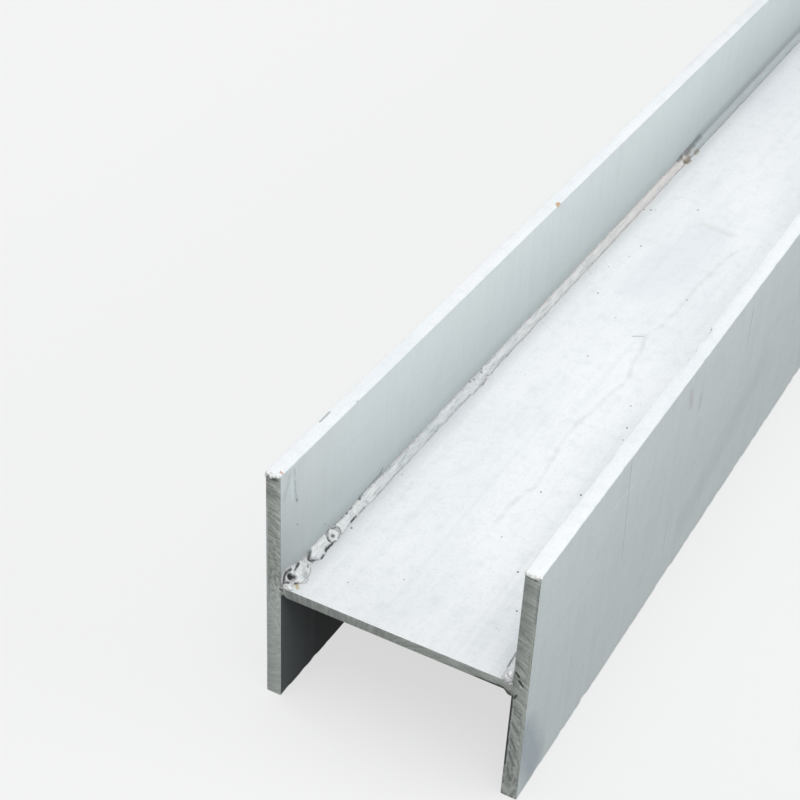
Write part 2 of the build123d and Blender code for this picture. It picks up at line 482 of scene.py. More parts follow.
# %% [markdown]
# ## The saw cut
# A cutting disc leaves bare, darker metal with arcs where its rim went round. Noise in polar form
# gives them: one coordinate is the distance from the disc's centre and the other runs round it, so
# that each streak is thin, a few times longer than wide, and bent like the cut. The disc was moved
# from one flange to the other, so each half has arcs about a centre of its own.

# %% Make the sawn metal
disc_centres = {"left": (118, 101), "right": (-52, 25)}
arc_line_mm = 2.1
arc_streak_mm = 11.0
disc_reach_mm = 60.0
# Cracks and soot by the welds, bright lips, dark bands, painted shadows under the burrs and a
# painted edge highlight: start, stop, width, shade and depth.
end_marks = [
    ((0, -89.8, 114.4), (0, -91.9, 111.6), 2.4, "#2A2C28", 0.95),
    ((0, -92.5, 108.2), (0, -94.9, 105.0), 2.6, "#2A2C28", 0.95),
    ((0, -93.6, 104.0), (0, -94.6, 103.4), 1.8, "#C9CCC6", 0.80),
    ((0, -91.7, 94.8), (0, -90.4, 92.0), 2.4, "#33352F", 0.90),
    ((0, -62.0, 96.4), (0, -81.5, 97.0), 3.0, "#33352F", 0.88),
    ((0, -81.5, 96.9), (0, -87.6, 93.8), 2.8, "#3A3C36", 0.90),
    # Painted shadows beneath the burrs at both flanges' top corners
    ((0, -90.6, 196.4), (0, -96.0, 195.8), 2.8, "#4A4E48", 0.90),
    ((0, 91.5, 195.6), (0, 96.0, 195.0), 3.2, "#4E524B", 0.85),
    ((0, 88.4, 101.8), (0, 87.4, 101.5), 3.2, "#1E201E", 0.95),
    ((0, 98.9, 170.0), (0, 99.4, 20.0), 1.6, "#B9C0BF", 0.75),
    ((0, -88.7, 93.0), (0, -88.7, 30.0), 2.6, "#2E302A", 0.95),
    ((0, -90.4, 84.0), (0, -90.0, 14.0), 1.5, "#B4BEC0", 0.70),
    ((0, -98.7, 192.0), (0, -98.5, 112.0), 3.0, "#666B67", 0.50),
    ((0, -89.5, 8.0), (0, -92.0, 4.0), 7.0, "#C9CCC7", 0.65),
    ((0, -98.5, 160.0), (0, -98.8, 30.0), 2.2, "#A4A8A2", 0.50),
    ((0, 98.0, 84.0), (0, 93.5, 79.0), 2.4, "#C3C7C1", 0.45),
    ((0, 95.5, 77.5), (0, 91.0, 77.0), 2.0, "#C3C7C1", 0.45),
    ((0, 93.0, 71.0), (0, 89.4, 64.0), 2.0, "#C3C7C1", 0.45),
    # A painted edge highlight down the left flange's inner edge
    ((0, 88.3, 90.0), (0, 88.3, 4.0), 1.2, "#B8C2C2", 0.70),
    ((0, -96.0, 146.0), (0, -88.5, 151.0), 3.0, "#6E736F", 0.60),
    ((0, -97.0, 116.0), (0, -89.0, 124.0), 2.0, "#6E736F", 0.55),
    ((0, -96.0, 80.0), (0, -90.5, 84.0), 3.0, "#646965", 0.65),
    ((0, -95.5, 63.0), (0, -91.0, 69.0), 3.0, "#646965", 0.65),
    ((0, -95.0, 46.0), (0, -91.0, 54.0), 3.4, "#646965", 0.70),
    ((0, -94.5, 31.0), (0, -91.0, 42.0), 3.0, "#646965", 0.65),
    ((0, -94.0, 16.0), (0, -91.0, 27.0), 2.4, "#646965", 0.60),
]
end_shades = [
    ((0, 94, 92), (0, 94, 6), 26.0, "#A6AEAA", 0.62),
    ((0, 94, 196), (0, 94, 112), 26.0, "#7E8480", 0.30),
    ((0, -94, 88), (0, -94, 6), 26.0, "#8E948F", 0.35),
    ((0, -94, 196), (0, -94, 158), 26.0, "#868C88", 0.65),
    ((0, -94, 150), (0, -94, 110), 26.0, "#828884", 0.35),
    ((0, -80, 100), (0, 80, 100), 16.0, "#868C89", 0.62),
]


def disc_arcs(tree, axes, centre):
    """Streaks bent about a centre, given in millimetres across and up."""
    across = add(tree, "Math", {0: axes.outputs["Y"], 1: centre[0] * mm}, operation="SUBTRACT")
    up = add(tree, "Math", {0: axes.outputs["Z"], 1: centre[1] * mm}, operation="SUBTRACT")
    flat = add(tree, "CombineXYZ", {"X": across.outputs[0], "Y": up.outputs[0]})
    radius = add(tree, "VectorMath", {0: flat.outputs[0]}, operation="LENGTH")
    turn = add(tree, "Math", {0: across.outputs[0], 1: up.outputs[0]}, operation="ARCTAN2")
    out = add(tree, "Math", {0: radius.outputs["Value"], 1: 1 / (arc_line_mm * mm)},
              operation="MULTIPLY")
    around = add(tree, "Math", {0: turn.outputs[0], 1: disc_reach_mm / arc_streak_mm},
                 operation="MULTIPLY")
    polar = add(tree, "CombineXYZ", {"X": out.outputs[0], "Y": around.outputs[0]})
    return add(tree, "TexNoise", {
        "Vector": polar.outputs[0], "Scale": 1.0, "Detail": 3.0, "Roughness": 0.6, "Distortion": 0.3,
    }).outputs["Fac"]


sawn_material, tree = new_material("bare_sawn_aluminium")
place = add(tree, "TexCoord").outputs["Object"]
axes = add(tree, "SeparateXYZ", {0: place})
on_left = add(tree, "Math", {0: axes.outputs["Y"], 1: 0.0}, operation="GREATER_THAN")
arcs = add(tree, "Mix", {
    0: on_left.outputs[0], 2: disc_arcs(tree, axes, disc_centres["right"]),
    3: disc_arcs(tree, axes, disc_centres["left"]),
}).outputs[0]
patches = stretched_noise(tree, place, (14, 10, 22), detail=3.0)
grit = stretched_noise(tree, place, (0.9, 0.9, 0.9), detail=3.0)
speckle = stretched_noise(tree, place, (2.6, 2.2, 2.6), detail=2.0)
colour = with_layers(tree, paint("#767B77"), [
    ("#BFC3BE", arcs, 0.38, 0.64, 0.90),
    ("#767B77", patches, 0.50, 0.72, 0.40),
    ("#A2A6A0", grit, 0.50, 0.80, 0.45),
    ("#5C625E", speckle, 0.54, 0.72, 0.42),
    ("#C6CAC5", speckle, 0.46, 0.30, 0.36),
])
colour = with_marks(tree, colour, place, end_shades)
colour = with_marks(tree, colour, shaken(tree, place, 3.0, 0.8), end_marks)
relief = add(tree, "Bump", {"Strength": 0.6, "Distance": 0.0005, "Height": arcs})
cut = add(tree, "BsdfPrincipled", {
    "Base Color": colour, "Metallic": 0.85, "Roughness": 0.5, "Normal": relief.outputs[0],
})
add(tree, "OutputMaterial", {"Surface": cut.outputs[0]})
print("sawn metal:", len(tree.nodes), "nodes")

# %% [markdown]
# ## The plates
# A plate starts as a cube stretched to its box. Its edges are bevelled, because rolled and cut
# plate is never razor sharp, and it is cut along its length so that the edges can be dented a
# little. The right flange also has three nicks in its upper inner edge. The two end faces get the
# sawn metal. The frame's own plates have clean edges, so these worn ones stand for them.

# %% Build one plate
edge_band_share = 1.2
nick_slant = 0.4


def finish_piece(name, shape, materials, replaced=None):
    """Makes a mesh into a piece that rides on the beam and may stand for a node of the frame."""
    bmesh.ops.recalc_face_normals(shape, faces=shape.faces)
    mesh = bpy.data.meshes.new(name)
    shape.to_mesh(mesh)
    shape.free()
    mesh.shade_smooth()
    for material in materials:
        mesh.materials.append(material)
    piece = bpy.data.objects.new(name, mesh)
    bpy.context.scene.collection.objects.link(piece)
    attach(piece, "root")
    if replaced:
        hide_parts(replaced)
    print(name, len(mesh.polygons), "faces")
    return piece


def long_edges(shape, y=None, z=None):
    """Edges along the beam, or only the one at a corner of the section."""
    found = []
    for edge in shape.edges:
        a, b = (v.co for v in edge.verts)
        along = abs(a.x - b.x) > 0.5 * (far_end - near_end)
        if along and (y is None or abs(a.y - y) < mm) and (z is None or abs(a.z - z) < mm):
            found.append(edge)
    return found


def worn_plate(name, node, skin, arris, wear, bevelled_corner=None, bevel_width=0.0, nicks=()):
    """A flat plate with eased and dented arrises, sawn ends and nicks in its upper inner edge."""
    low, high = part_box(node)
    middle, size = (low + high) / 2, high - low
    shape = bmesh.new()
    bmesh.ops.create_cube(shape, size=1)
    bmesh.ops.scale(shape, vec=size, verts=shape.verts)
    bmesh.ops.translate(shape, vec=middle, verts=shape.verts)
    if bevelled_corner:
        bmesh.ops.bevel(shape, geom=long_edges(shape, *bevelled_corner), affect="EDGES",
                        offset=bevel_width, segments=1, profile=0.5, material=-1)
    bmesh.ops.bevel(shape, geom=long_edges(shape), affect="EDGES",
                    offset=arris, segments=3, profile=0.5, material=-1)
    bmesh.ops.subdivide_edges(shape, edges=long_edges(shape), cuts=plate_cuts)
    for vert in shape.verts:
        share = (vert.co.x - near_end) / size.x
        vert.co.x = near_end + size.x * share ** cut_crowding
        inward = Vector((0, middle.y - vert.co.y, middle.z - vert.co.z))
        depth_y = size.y / 2 - abs(inward.y)
        depth_z = size.z / 2 - abs(inward.z)
        if depth_y + depth_z < edge_band_share * arris:
            ripple = noise.noise(Vector((vert.co.x / dent_length, low.y / size.y, vert.co.z / size.z)))
            inward.y, inward.z = (1 if inward.y > 0 else -1), (1 if inward.z > 0 else -1)
            vert.co += inward * wear * max(0.0, ripple)
            if inward.y * middle.y > 0 > inward.z:
                for place_mm, half_length, depth in nicks:
                    off = abs((vert.co.x - near_end) / mm - place_mm) / half_length
                    deep = depth * mm * min(1.0, max(0.0, 2 - 2 * off))
                    vert.co += Vector((0, inward.y, -nick_slant)) * deep
    ends = [edge for edge in shape.edges if abs(abs(edge.verts[0].co.x) - far_end) < mm / 100
            and abs(edge.verts[0].co.x - edge.verts[1].co.x) < mm / 100]
    bmesh.ops.bevel(shape, geom=ends, affect="EDGES", offset=cut_rim, segments=1,
                    profile=0.5, material=-1)
    for face in shape.faces:
        face.normal_update()
        face.material_index = 1 if abs(face.normal.x) > 0.9 else 0
    return finish_piece(name, shape, [skin, sawn_material], node)


plate_cuts = 599
cut_crowding = 1.5
dent_length = 9 * mm
cut_rim = 0.12 * mm
web_bevel = 3.5 * mm
# A nick has its place along the beam, half its length and its depth, in millimetres.
worn_plate("worn_flange_left", "flange_plate_left", left_skin, 1.0 * mm, 0.6 * mm)
worn_plate("worn_flange_right", "flange_plate_right", right_skin, 1.0 * mm, 0.8 * mm,
           nicks=[(268, 9, 1.5), (285, 8, 1.5), (313, 10, 1.8)])
worn_plate("worn_web", "web_plate", web_skin, 0.5 * mm, 0.4 * mm, (web_high.y, web_low.z), web_bevel)

# %% [markdown]
# ## Weld metal
# A fillet weld fills the corner between two plates. It is laid in runs, each starting with a
# blunt round nose on top of the last one, so the surface is always the highest of all runs. That
# is easy in polar form: stand in the corner, look out at an angle between the web and the flange,
# and ask how far the metal reaches there. A grid of points along the beam and round that angle
# becomes the bead.

# %% Describe the runs of each weld
nose_bulge_share = 0.40
nose_length_share, toe_length_share = 0.50, 0.15
nose_rise, nose_rise_mm = 0.10, 5
crown_mm = 1.1
tail_reach_mm, tail_lead_mm, tail_fade_mm, tail_drop = 14, 11, 13, 0.5
no_crease = 99.0

# Each run has its start and stop from the sawn end, and its legs on the web and on the flange.
top_left_runs = [
    (-14, 18, 6.6, 12.6), (4, 28, 11.2, 7.6), (32.3, 64, 8.1, 6.8), (56, 73, 7.6, 7.2),
    (64, 112, 6.6, 5.4), (90, 128, 6.4, 5.4), (106, 280, 6.7, 6.2), (268, 305, 7.5, 6.6),
    (300, 752, 6.7, 6.2), (744, 786, 6.6, 7.6), (772, 1500, 6.6, 6.2), (1496, 1532, 8.2, 8.0),
    (1524, 2240, 6.8, 6.6), (2232, 2268, 8.2, 8.0), (2262, 3020, 6.4, 6.2),
]
top_right_runs = [
    (-14, 34, 9.5, 9.5), (30, 112, 7.4, 7.4), (106, 860, 6.3, 6.3), (852, 890, 8.0, 8.0),
    (882, 1580, 6.7, 6.5), (1572, 1610, 8.0, 8.0), (1600, 2330, 6.2, 6.2), (2322, 2360, 8.1, 8.1),
    (2352, 3020, 6.5, 6.5),
]
bottom_left_runs = [
    (16, 66, 6.2, 6.2), (60, 116, 7.0, 7.0), (110, 770, 6.7, 6.7), (762, 800, 8.0, 8.0),
    (792, 1470, 6.3, 6.3), (1462, 1500, 7.9, 7.9), (1492, 2220, 6.5, 6.5), (2212, 2250, 7.9, 7.9),
    (2242, 3020, 6.2, 6.2),
]
bottom_right_runs = [
    (-20, 60, 6.0, 3.6), (52, 112, 6.8, 6.8), (104, 830, 6.2, 6.2), (822, 860, 7.9, 7.9),
    (852, 1620, 6.5, 6.5), (1612, 1650, 8.0, 8.0), (1642, 2300, 6.8, 6.8), (2292, 2330, 7.8, 7.8),
    (2322, 3020, 6.4, 6.4),
]


def swell(distance, length):
    """Rises from nothing to one over a length, as a quarter of an ellipse does."""
    share = min(1.0, max(0.0, distance / length))
    return sqrt(1 - (1 - share) ** 2)


def reach_at(runs, x_mm, angle):
    """How far the metal reaches from the corner, and how near the closest nose is, in millimetres."""
    lean = (angle / (pi / 4) - 1) ** 2
    best, crease = 0.0, no_crease
    for start, stop, web_leg, flange_leg in runs:
        size = (web_leg + flange_leg) / 2
        front = start + nose_bulge_share * size * lean
        if not start - 1 < x_mm < stop + tail_reach_mm:
            continue
        body = swell(x_mm - front, (nose_length_share + toe_length_share * lean) * size)
        tail = 1 - tail_drop * min(1.0, max(0.0, (x_mm - stop + tail_lead_mm) / tail_fade_mm)) ** 2
        chord = 1 / (cos(angle) / web_leg + sin(angle) / flange_leg) + crown_mm * sin(2 * angle)
        past_nose = (x_mm - front - nose_rise_mm) / nose_rise_mm
        shoulder = 1 + nose_rise * exp(-past_nose ** 2) if start > 0 else 1
        reach = chord * body * tail * shoulder
        if reach > best:
            best = reach
            crease = abs(x_mm - front) if start > 0 else no_crease
    return best, crease


near_zone_mm, near_step_mm = 132, 0.38
nose_step_mm, step_growth, widest_step_mm = 0.6, 0.03, 4.0


def stations(runs):
    """Places along the beam in millimetres: close together at the noses and wide apart between."""
    starts = [run[0] for run in runs]
    places, x_mm, last = [], max(0.0, starts[0]), (far_end - near_end) / mm
    while x_mm < last:
        places.append(x_mm)
        nearest = min(abs(x_mm - start) for start in starts)
        spread = min(widest_step_mm, nose_step_mm + step_growth * nearest)
        x_mm += near_step_mm if x_mm < near_zone_mm else spread
    return places + [last]


print("runs in each weld:", [len(runs) for runs in (
    top_left_runs, top_right_runs, bottom_left_runs, bottom_right_runs)])

# %% [markdown]
# The weld metal is brighter than the plates, with soot and painted shade in its creases, and a thin
# brown scale along its toes with the painted shadow of an undercut in it. Where they lie depends on
# the bead's shape, so the mesh carries both as numbers on its points and the material only colours
# them. Fine crescent ripples follow the bead, one for each time that the puddle froze.

# %% Make the weld metal
ripple_mm = 3.2
ripple_bow_mm = 4.5
restart_place = near_end + 751 * mm
# Painted light: the weld metal is painted whiter over its first 100 to 150 millimetres.
painted_light_from, painted_light_to = near_end + 100 * mm, near_end + 150 * mm
warm_from = near_end + 300 * mm
grey_from, grey_to = restart_place - 4 * mm, restart_place + 30 * mm
# Ochre and brown dirt by the noses: start, stop, width, shade and depth, as for the plates.
weld_stains = [
    ((746, 83.2, 106.0), (758, 82.8, 105.6), 9.0, "#8C7F62", 0.80),
    ((773, 82.0, 105.4), (781, 81.4, 105.0), 6.0, "#9A8F7C", 0.70),
    ((31.0, 82.0, 104.4), (26.7, 79.9, 104.4), 2.4, "#BE9F78", 0.55),
    ((26.7, 79.9, 104.4), (20.6, 77.6, 104.6), 2.2, "#C2AB8C", 0.45),
    ((55.2, 83.2, 107.6), (56.4, 84.2, 108.8), 1.6, "#B98F5E", 0.55),
    ((93.0, 82.2, 105.0), (86.3, 81.8, 104.5), 2.4, "#B59A7C", 0.50),
]

weld_material, tree = new_material("as_welded_aluminium")
place = add(tree, "TexCoord").outputs["Object"]
soot_and_shade = add(tree, "Attribute", attribute_name="soot_and_shade").outputs["Fac"]
toe_scale_and_shade = add(tree, "Attribute", attribute_name="toe_scale_and_shade").outputs["Fac"]
bow = add(tree, "Attribute", attribute_name="bow").outputs["Fac"]
smut = stretched_noise(tree, place, (2.6, 2.6, 2.6), detail=4.0, rough=0.65)
fume = stretched_noise(tree, place, (26, 9, 9), detail=3.0)
ridges = stretched_noise(tree, place, (14, 1.4, 1.4), detail=3.0)
along = add(tree, "SeparateXYZ", {0: place}).outputs["X"]
bent = add(tree, "Math", {0: bow, 1: ripple_bow_mm * mm, 2: along}, operation="MULTIPLY_ADD")
waved = add(tree, "Math", {0: smut, 1: 3.0 * mm, 2: bent.outputs[0]}, operation="MULTIPLY_ADD")
phase = add(tree, "Math", {0: waved.outputs[0], 1: 2 * pi / (ripple_mm * mm)}, operation="MULTIPLY")
ripples = add(tree, "Math", {0: phase.outputs[0]}, operation="SINE").outputs[0]
colour = with_layers(tree, paint("#F6F7F8"), [
    ("#D3D9DB", fume, 0.40, 0.66, 0.60),
    # Painted light on the near tack welds
    ("#FFFFFF", along, painted_light_to, painted_light_from, 0.70),
    ("#A4ADB0", ridges, 0.52, 0.66, 0.55),
    ("#F4E9E3", along, warm_from, restart_place, 0.65),
    ("#BCC6C9", along, grey_from, grey_to, 0.85),
    ("#BFC6C8", ripples, 0.2, 1.0, 0.12),
    ("#A8A29B", smut, 0.58, 0.78, 0.35),
])
# Brown scale along the toes, with the painted shadow of an undercut in it.
toe_dark_share = add(tree, "Math", {0: toe_scale_and_shade, 1: smut}, operation="MULTIPLY")
colour = laid_over(tree, colour, "#A0958F", toe_dark_share.outputs[0], 0.18, 0.60, 0.54)
soot_and_shade_share = add(tree, "Math", {0: soot_and_shade, 1: smut, 2: soot_and_shade}, operation="MULTIPLY_ADD")
colour = with_marks(tree, colour, shaken(tree, place, 2.4, 1.0), weld_stains)
# Soot, and painted shade in the creases, grooves and holes of the bead.
colour = laid_over(tree, colour, "#2F3636", soot_and_shade_share.outputs[0], 0.20, 1.35, 0.97)
rough_height = add(tree, "Math", {0: ripples, 1: 0.18, 2: ridges}, operation="MULTIPLY_ADD")
relief = add(tree, "Bump", {"Strength": 0.75, "Distance": 0.0009, "Height": rough_height.outputs[0]})
metal = add(tree, "BsdfPrincipled", {
    "Base Color": colour, "Metallic": 0.10, "Roughness": 0.40, "Normal": relief.outputs[0],
})
add(tree, "OutputMaterial", {"Surface": metal.outputs[0]})
print("weld metal:", len(tree.nodes), "nodes")

# %% [markdown]
# The near end of the top left weld shows the most: a deep crater where the arc was stopped, a
# round puddle with a ring about it, undercuts and pinholes. Craters push the surface in and out.
# Marks darken it, with soot and with painted shade in its grooves, holes and undercuts, and cut a
# shallow groove, along a short line on the bead's own surface. Both are placed by millimetres
# along the beam and degrees round from the web.

# %% Describe craters and marks
# A crater has its place, the radii of its ring and its pit, the pit's depth and its ring's
# soot and painted shade.
# The second is a puddle with hardly a pit.
top_left_craters = [
    dict(x=5.2, turn=62, ring=4.6, pit=2.8, depth=2.4, soot_and_shade=0.00),
    dict(x=62.0, turn=41, ring=5.8, pit=0.1, depth=0.0, soot_and_shade=0.55),
]
# A mark is a chain of places. Each stretch of it has the width and the strength given where it ends.
top_left_marks = [
    # Soot round the open crater
    [(11.1, 81), (6.3, 83, 1.3, 0.95), (2.8, 82, 1.5, 1.00), (1.0, 77, 1.5, 1.00), (0.3, 64, 1.4, 0.95),
     (2.2, 42, 1.1, 0.85)], [(8.0, 4), (8.3, 6, 1.6, 0.85)],
    # The first puddle's edge, its pinholes and its flow lines
    [(21.3, 82), (17.3, 73, 1.8, 1.00), (13.6, 67, 1.2, 0.85), (11.3, 64, 0.9, 0.50)],
    [(19.3, 14), (16.2, 15, 3.4, 0.45)], [(25.1, 24), (25.4, 25, 1.5, 0.80)],
    [(27.5, 27), (27.8, 29, 1.3, 0.65)], [(14.0, 48), (22.0, 42, 1.6, 0.22)],
    [(12.5, 28), (19.0, 26, 1.4, 0.22)], [(26.0, 60), (30.0, 56, 1.6, 0.25)],
    # The crater's floor
    [(6.4, 55), (8.2, 45, 3.4, 1.00)],
    # The crease round the second run's nose
    [(36.9, 79), (34.6, 70, 1.5, 0.75), (33.2, 59, 1.6, 0.85), (32.4, 45, 1.7, 0.95),
     (32.4, 30, 1.8, 0.95), (33.2, 15, 1.8, 0.90), (35.0, 3, 1.5, 0.75), (37.8, 1, 1.2, 0.50)],
    # Undercuts along the second run's web toe
    [(39.9, 1), (43.1, 1, 2.2, 1.00)], [(48.3, 6), (54.2, 5, 2.5, 1.00), (59.9, 1, 2.2, 0.95)],
    # Rings beyond the round puddle, and the shade between them
    [(65.0, 80), (70.4, 68, 1.5, 0.75), (71.6, 47, 1.5, 0.60), (70.9, 16, 1.5, 0.65),
     (69.0, 2, 1.3, 0.70), (66.0, 2, 1.2, 0.60)],
    [(64.1, 76), (68.2, 54, 1.1, 0.70), (68.1, 25, 1.2, 0.70), (67.2, 7, 1.0, 0.55)],
    [(66.0, 78), (69.8, 60, 3.4, 0.50)], [(69.8, 58), (69.8, 34, 3.6, 0.50)],
    # The puddle's near side and its pit
    [(57.1, 62), (56.1, 42, 1.3, 0.80), (56.5, 24, 1.4, 0.90)], [(57.1, 62), (60.4, 81, 1.1, 0.45)],
    [(60.2, 45), (60.9, 42, 2.6, 0.90)],
    # Pinholes, undercuts and fine lines as far as the long run
    [(63.6, 7), (64.0, 8, 1.7, 0.80)], [(70.8, 88), (71.2, 88, 1.6, 0.70)],
    [(73.0, 86), (84.0, 86, 1.0, 0.50)], [(87.0, 88), (87.4, 88, 2.2, 1.00)],
    [(85.2, 4), (89.1, 7, 2.1, 1.00)], [(91.3, 6), (91.9, 6, 2.0, 0.70)],
    [(92.0, 84), (95.0, 83, 1.3, 0.60)], [(95.7, 10), (104.0, 8, 1.4, 0.45)],
    [(106.0, 88), (106.6, 88, 1.9, 0.90)], [(106.8, 52), (109.0, 14, 1.6, 0.30)],
    # Pinholes on the next lump
    [(281.0, 80), (281.6, 80, 1.5, 0.80)], [(286.0, 70), (286.8, 70, 1.5, 0.70)],
    [(299.5, 68), (300.3, 68, 1.7, 0.80)],
    # Burnt metal and the painted shade of an undercut where the far run restarts
    [(738.0, 84), (752.0, 79, 4.2, 0.56)], [(755.0, 73), (766.0, 71, 4.8, 0.70)],
    [(768.0, 78), (782.0, 75, 4.0, 0.60)], [(786.0, 80), (804.0, 80, 3.4, 0.45)],
    [(761.0, 20), (764.0, 8, 2.8, 0.35)],
]


rim_lift_mm, rim_inset_mm, rim_width_mm = 0.8, 1.7, 1.1
ring_groove_mm, ring_width_mm, ring_soot_and_shade_mm = 0.6, 0.7, 0.9
pit_floor_share = 0.8


def stretches(marks):
    """The start, stop, width and strength of every stretch of the marks."""
    return [(a[:2], b[:2], *b[2:]) for chain in marks for a, b in zip(chain, chain[1:])]


def surface_gap(reach, x_mm, angle, start, stop):
    """Distance on the bead's surface, in millimetres, from a point to a line between two places."""
    here = Vector((x_mm, reach * angle))
    a = Vector((start[0], reach * radians(start[1])))
    b = Vector((stop[0], reach * radians(stop[1])))
    along = b - a
    share = min(1.0, max(0.0, (here - a).dot(along) / along.length_squared))
    return (here - a - share * along).length


def crater_effect(crater, reach, x_mm, angle):
    """How a crater lifts the surface, in millimetres, and how dark it makes it.

    It has a raised rim inside its ring, a groove along the ring and a flat-bottomed pit.
    """
    offset = Vector((x_mm - crater["x"], reach * (angle - radians(crater["turn"]))))
    gap = offset.length
    lift = rim_lift_mm * exp(-((gap - crater["ring"] + rim_inset_mm) / rim_width_mm) ** 2)
    lift -= ring_groove_mm * exp(-((gap - crater["ring"]) / ring_width_mm) ** 2)
    lift -= crater["depth"] * exp(-(gap / (pit_floor_share * crater["pit"])) ** 4)
    ring_dark = crater["soot_and_shade"] * exp(-((gap - crater["ring"]) / ring_soot_and_shade_mm) ** 2)
    return lift, max(ring_dark, exp(-(gap / crater["pit"]) ** 6))


print(len(top_left_craters), "craters and", len(stretches(top_left_marks)), "stretches of marks")

# %% Build the beads
bead_rows = 28
sink_mm = 0.15
ripple_lift_mm = 0.06
toe_zone_mm, near_toe_mm, far_toe_mm = 120, 1.2, 2.0
mark_sharpness, mark_groove_mm = 1.5, 0.5
root_overrun = 0.1 * mm
# Each has its length along the bead in millimetres, its turns round it and its share of the reach.
bead_unevenness = [(9.0, 0.9, 0.075), (26.0, 4.5, 0.045), (2.6, 2.2, 0.035)]
# Soot and painted shade in the crease where a run's nose meets the last run.
crease_soot_and_shade, crease_width_mm = 0.50, 1.3
lump_grain = 1.3
end_round_mm = 3.2
end_round_share = 0.34


def bead(name, node, side, level, runs, craters=(), marks=(), caps=()):
    """One weld: side is 1 on the left, level is 1 above the web.

    The lower ones fill the root gap too and show sawn metal at their ends.
    """
    places = stations(runs)
    columns = len(places) - 1
    shape = bmesh.new()
    bmesh.ops.create_grid(shape, x_segments=columns, y_segments=bead_rows + 2, size=0.5)
    soot_and_shade_layer = shape.verts.layers.float.new("soot_and_shade")
    toe_scale_and_shade_layer = shape.verts.layers.float.new("toe_scale_and_shade")
    bow_layer = shape.verts.layers.float.new("bow")
    corner_z = web_high.z if level > 0 else web_low.z
    seed = side * 3 + level
    lines = stretches(marks)
    for vert in shape.verts:
        column = round((vert.co.x + 0.5) * columns)
        row = round((vert.co.y + 0.5) * (bead_rows + 2))
        x_mm = places[column]
        angle = (row - 1) / bead_rows * pi / 2
        dark, toe_darkening = 0.0, 0.0
        if 0 < row < bead_rows + 2:
            reach, crease = reach_at(runs, x_mm, angle)
            uneven = 1.0
            for length_mm, turns, share in bead_unevenness:
                uneven += share * noise.noise(Vector((x_mm / length_mm, angle * turns, seed)))
            reach *= uneven
            if x_mm < near_zone_mm:
                bowed_mm = x_mm + ripple_bow_mm * sin(2 * angle)
                reach += ripple_lift_mm * sin(2 * pi * bowed_mm / ripple_mm)
            toe_mm = reach * min(angle, pi / 2 - angle)
            # Toe darkening: brown scale and the painted shadow of an undercut.
            toe_darkening = exp(-(toe_mm / (near_toe_mm if x_mm < toe_zone_mm else far_toe_mm)) ** 2)
            # Soot and painted shade in the crease at a nose.
            dark = crease_soot_and_shade * exp(-(crease / crease_width_mm) ** 2)
            for crater in craters:
                lift, shade = crater_effect(crater, reach, x_mm, angle)
                reach, dark = reach + lift, max(dark, shade)
            for start, stop, width_mm, strength in lines:
                gap = surface_gap(reach, x_mm, angle, start, stop)
                depth = strength * exp(-(mark_sharpness * gap / width_mm) ** 2)
                reach, dark = reach - mark_groove_mm * depth, max(dark, depth)
        else:
            reach, angle = 0.0, 0.0
        if level > 0:
            reach *= 1 - end_round_share * max(0.0, 1 - x_mm / end_round_mm) ** 2
        out = (reach * cos(angle) - sink_mm) * mm
        up = (reach * sin(angle) - sink_mm) * mm
        vert.co = Vector((near_end + x_mm * mm, side * (flange_inner - out), corner_z + level * up))
        vert[soot_and_shade_layer] = dark
        vert[toe_scale_and_shade_layer] = toe_darkening
        vert[bow_layer] = sin(2 * angle)
    bmesh.ops.remove_doubles(shape, verts=shape.verts, dist=0.001 * mm)
    rims = [edge for edge in shape.edges if edge.is_boundary]
    bmesh.ops.holes_fill(shape, edges=rims, sides=0)
    if level < 0:
        fill_root(shape, side)
        for face in shape.faces:
            face.normal_update()
            face.material_index = 1 if abs(face.normal.x) > 0.9 else 0
    for centre, radii in caps:
        blob(shape, from_end(*centre), radii, unevenness=0.08)
    return finish_piece(name, shape, [weld_material, sawn_material], node)


def fill_root(shape, side):
    """Adds the metal that ran into the gap between the web's edge and the flange."""
    made = bmesh.ops.create_cube(shape, size=1)
    gap = flange_inner - web_high.y
    size = Vector((far_end - near_end + root_overrun, gap + 2 * root_overrun, web_high.z - web_low.z))
    middle = Vector((0, side * (flange_inner + web_high.y) / 2, (web_high.z + web_low.z) / 2))
    bmesh.ops.scale(shape, vec=size, verts=made["verts"])
    bmesh.ops.translate(shape, vec=middle, verts=made["verts"])


def blob(shape, centre, radii_mm, unevenness):
    """Adds a small uneven lump of metal to a mesh."""
    made = bmesh.ops.create_icosphere(shape, subdivisions=3, radius=1)
    for vert in made["verts"]:
        swelled = 1 + unevenness * noise.noise(vert.co * lump_grain + centre / mm)
        vert.co = centre + Vector([c * r * mm * swelled for c, r in zip(vert.co, radii_mm)])


bead("bead_top_left", "fillet_weld_top_left", 1, 1, top_left_runs, top_left_craters, top_left_marks,
     caps=[((1.4, 83.8, 104.4), (2.0, 4.2, 2.0))])
bead("bead_top_right", "fillet_weld_top_right", -1, 1, top_right_runs,
     caps=[((0.2, -84.3, 105.9), (2.3, 3.6, 3.7)), ((1.6, -85.6, 109.0), (2.8, 2.8, 3.6)),
           ((0.4, -85.8, 103.6), (1.7, 2.4, 2.2))])
bead("bead_bottom_left", "fillet_weld_bottom_left", 1, -1, bottom_left_runs)
bead("bead_bottom_right", "fillet_weld_bottom_right", -1, -1, bottom_right_runs)

# %% [markdown]
# ## Burrs and spatter
# The saw left rolled lips of torn metal at the top corners of its cut, and welding threw small
# drops over the plates. Torn metal is bare and catches the light. A burnt drop is dull and dark,
# and paler further along the beam, where oxide has grown on it. Both are too small for the plates'
# own mesh, so the burrs are one mesh of little uneven lumps and the drops one of flattened balls.
# The burrs are placed where the real cut shows them. The drops on the web have known places too,
# and more lie along each weld at random but the same each run.

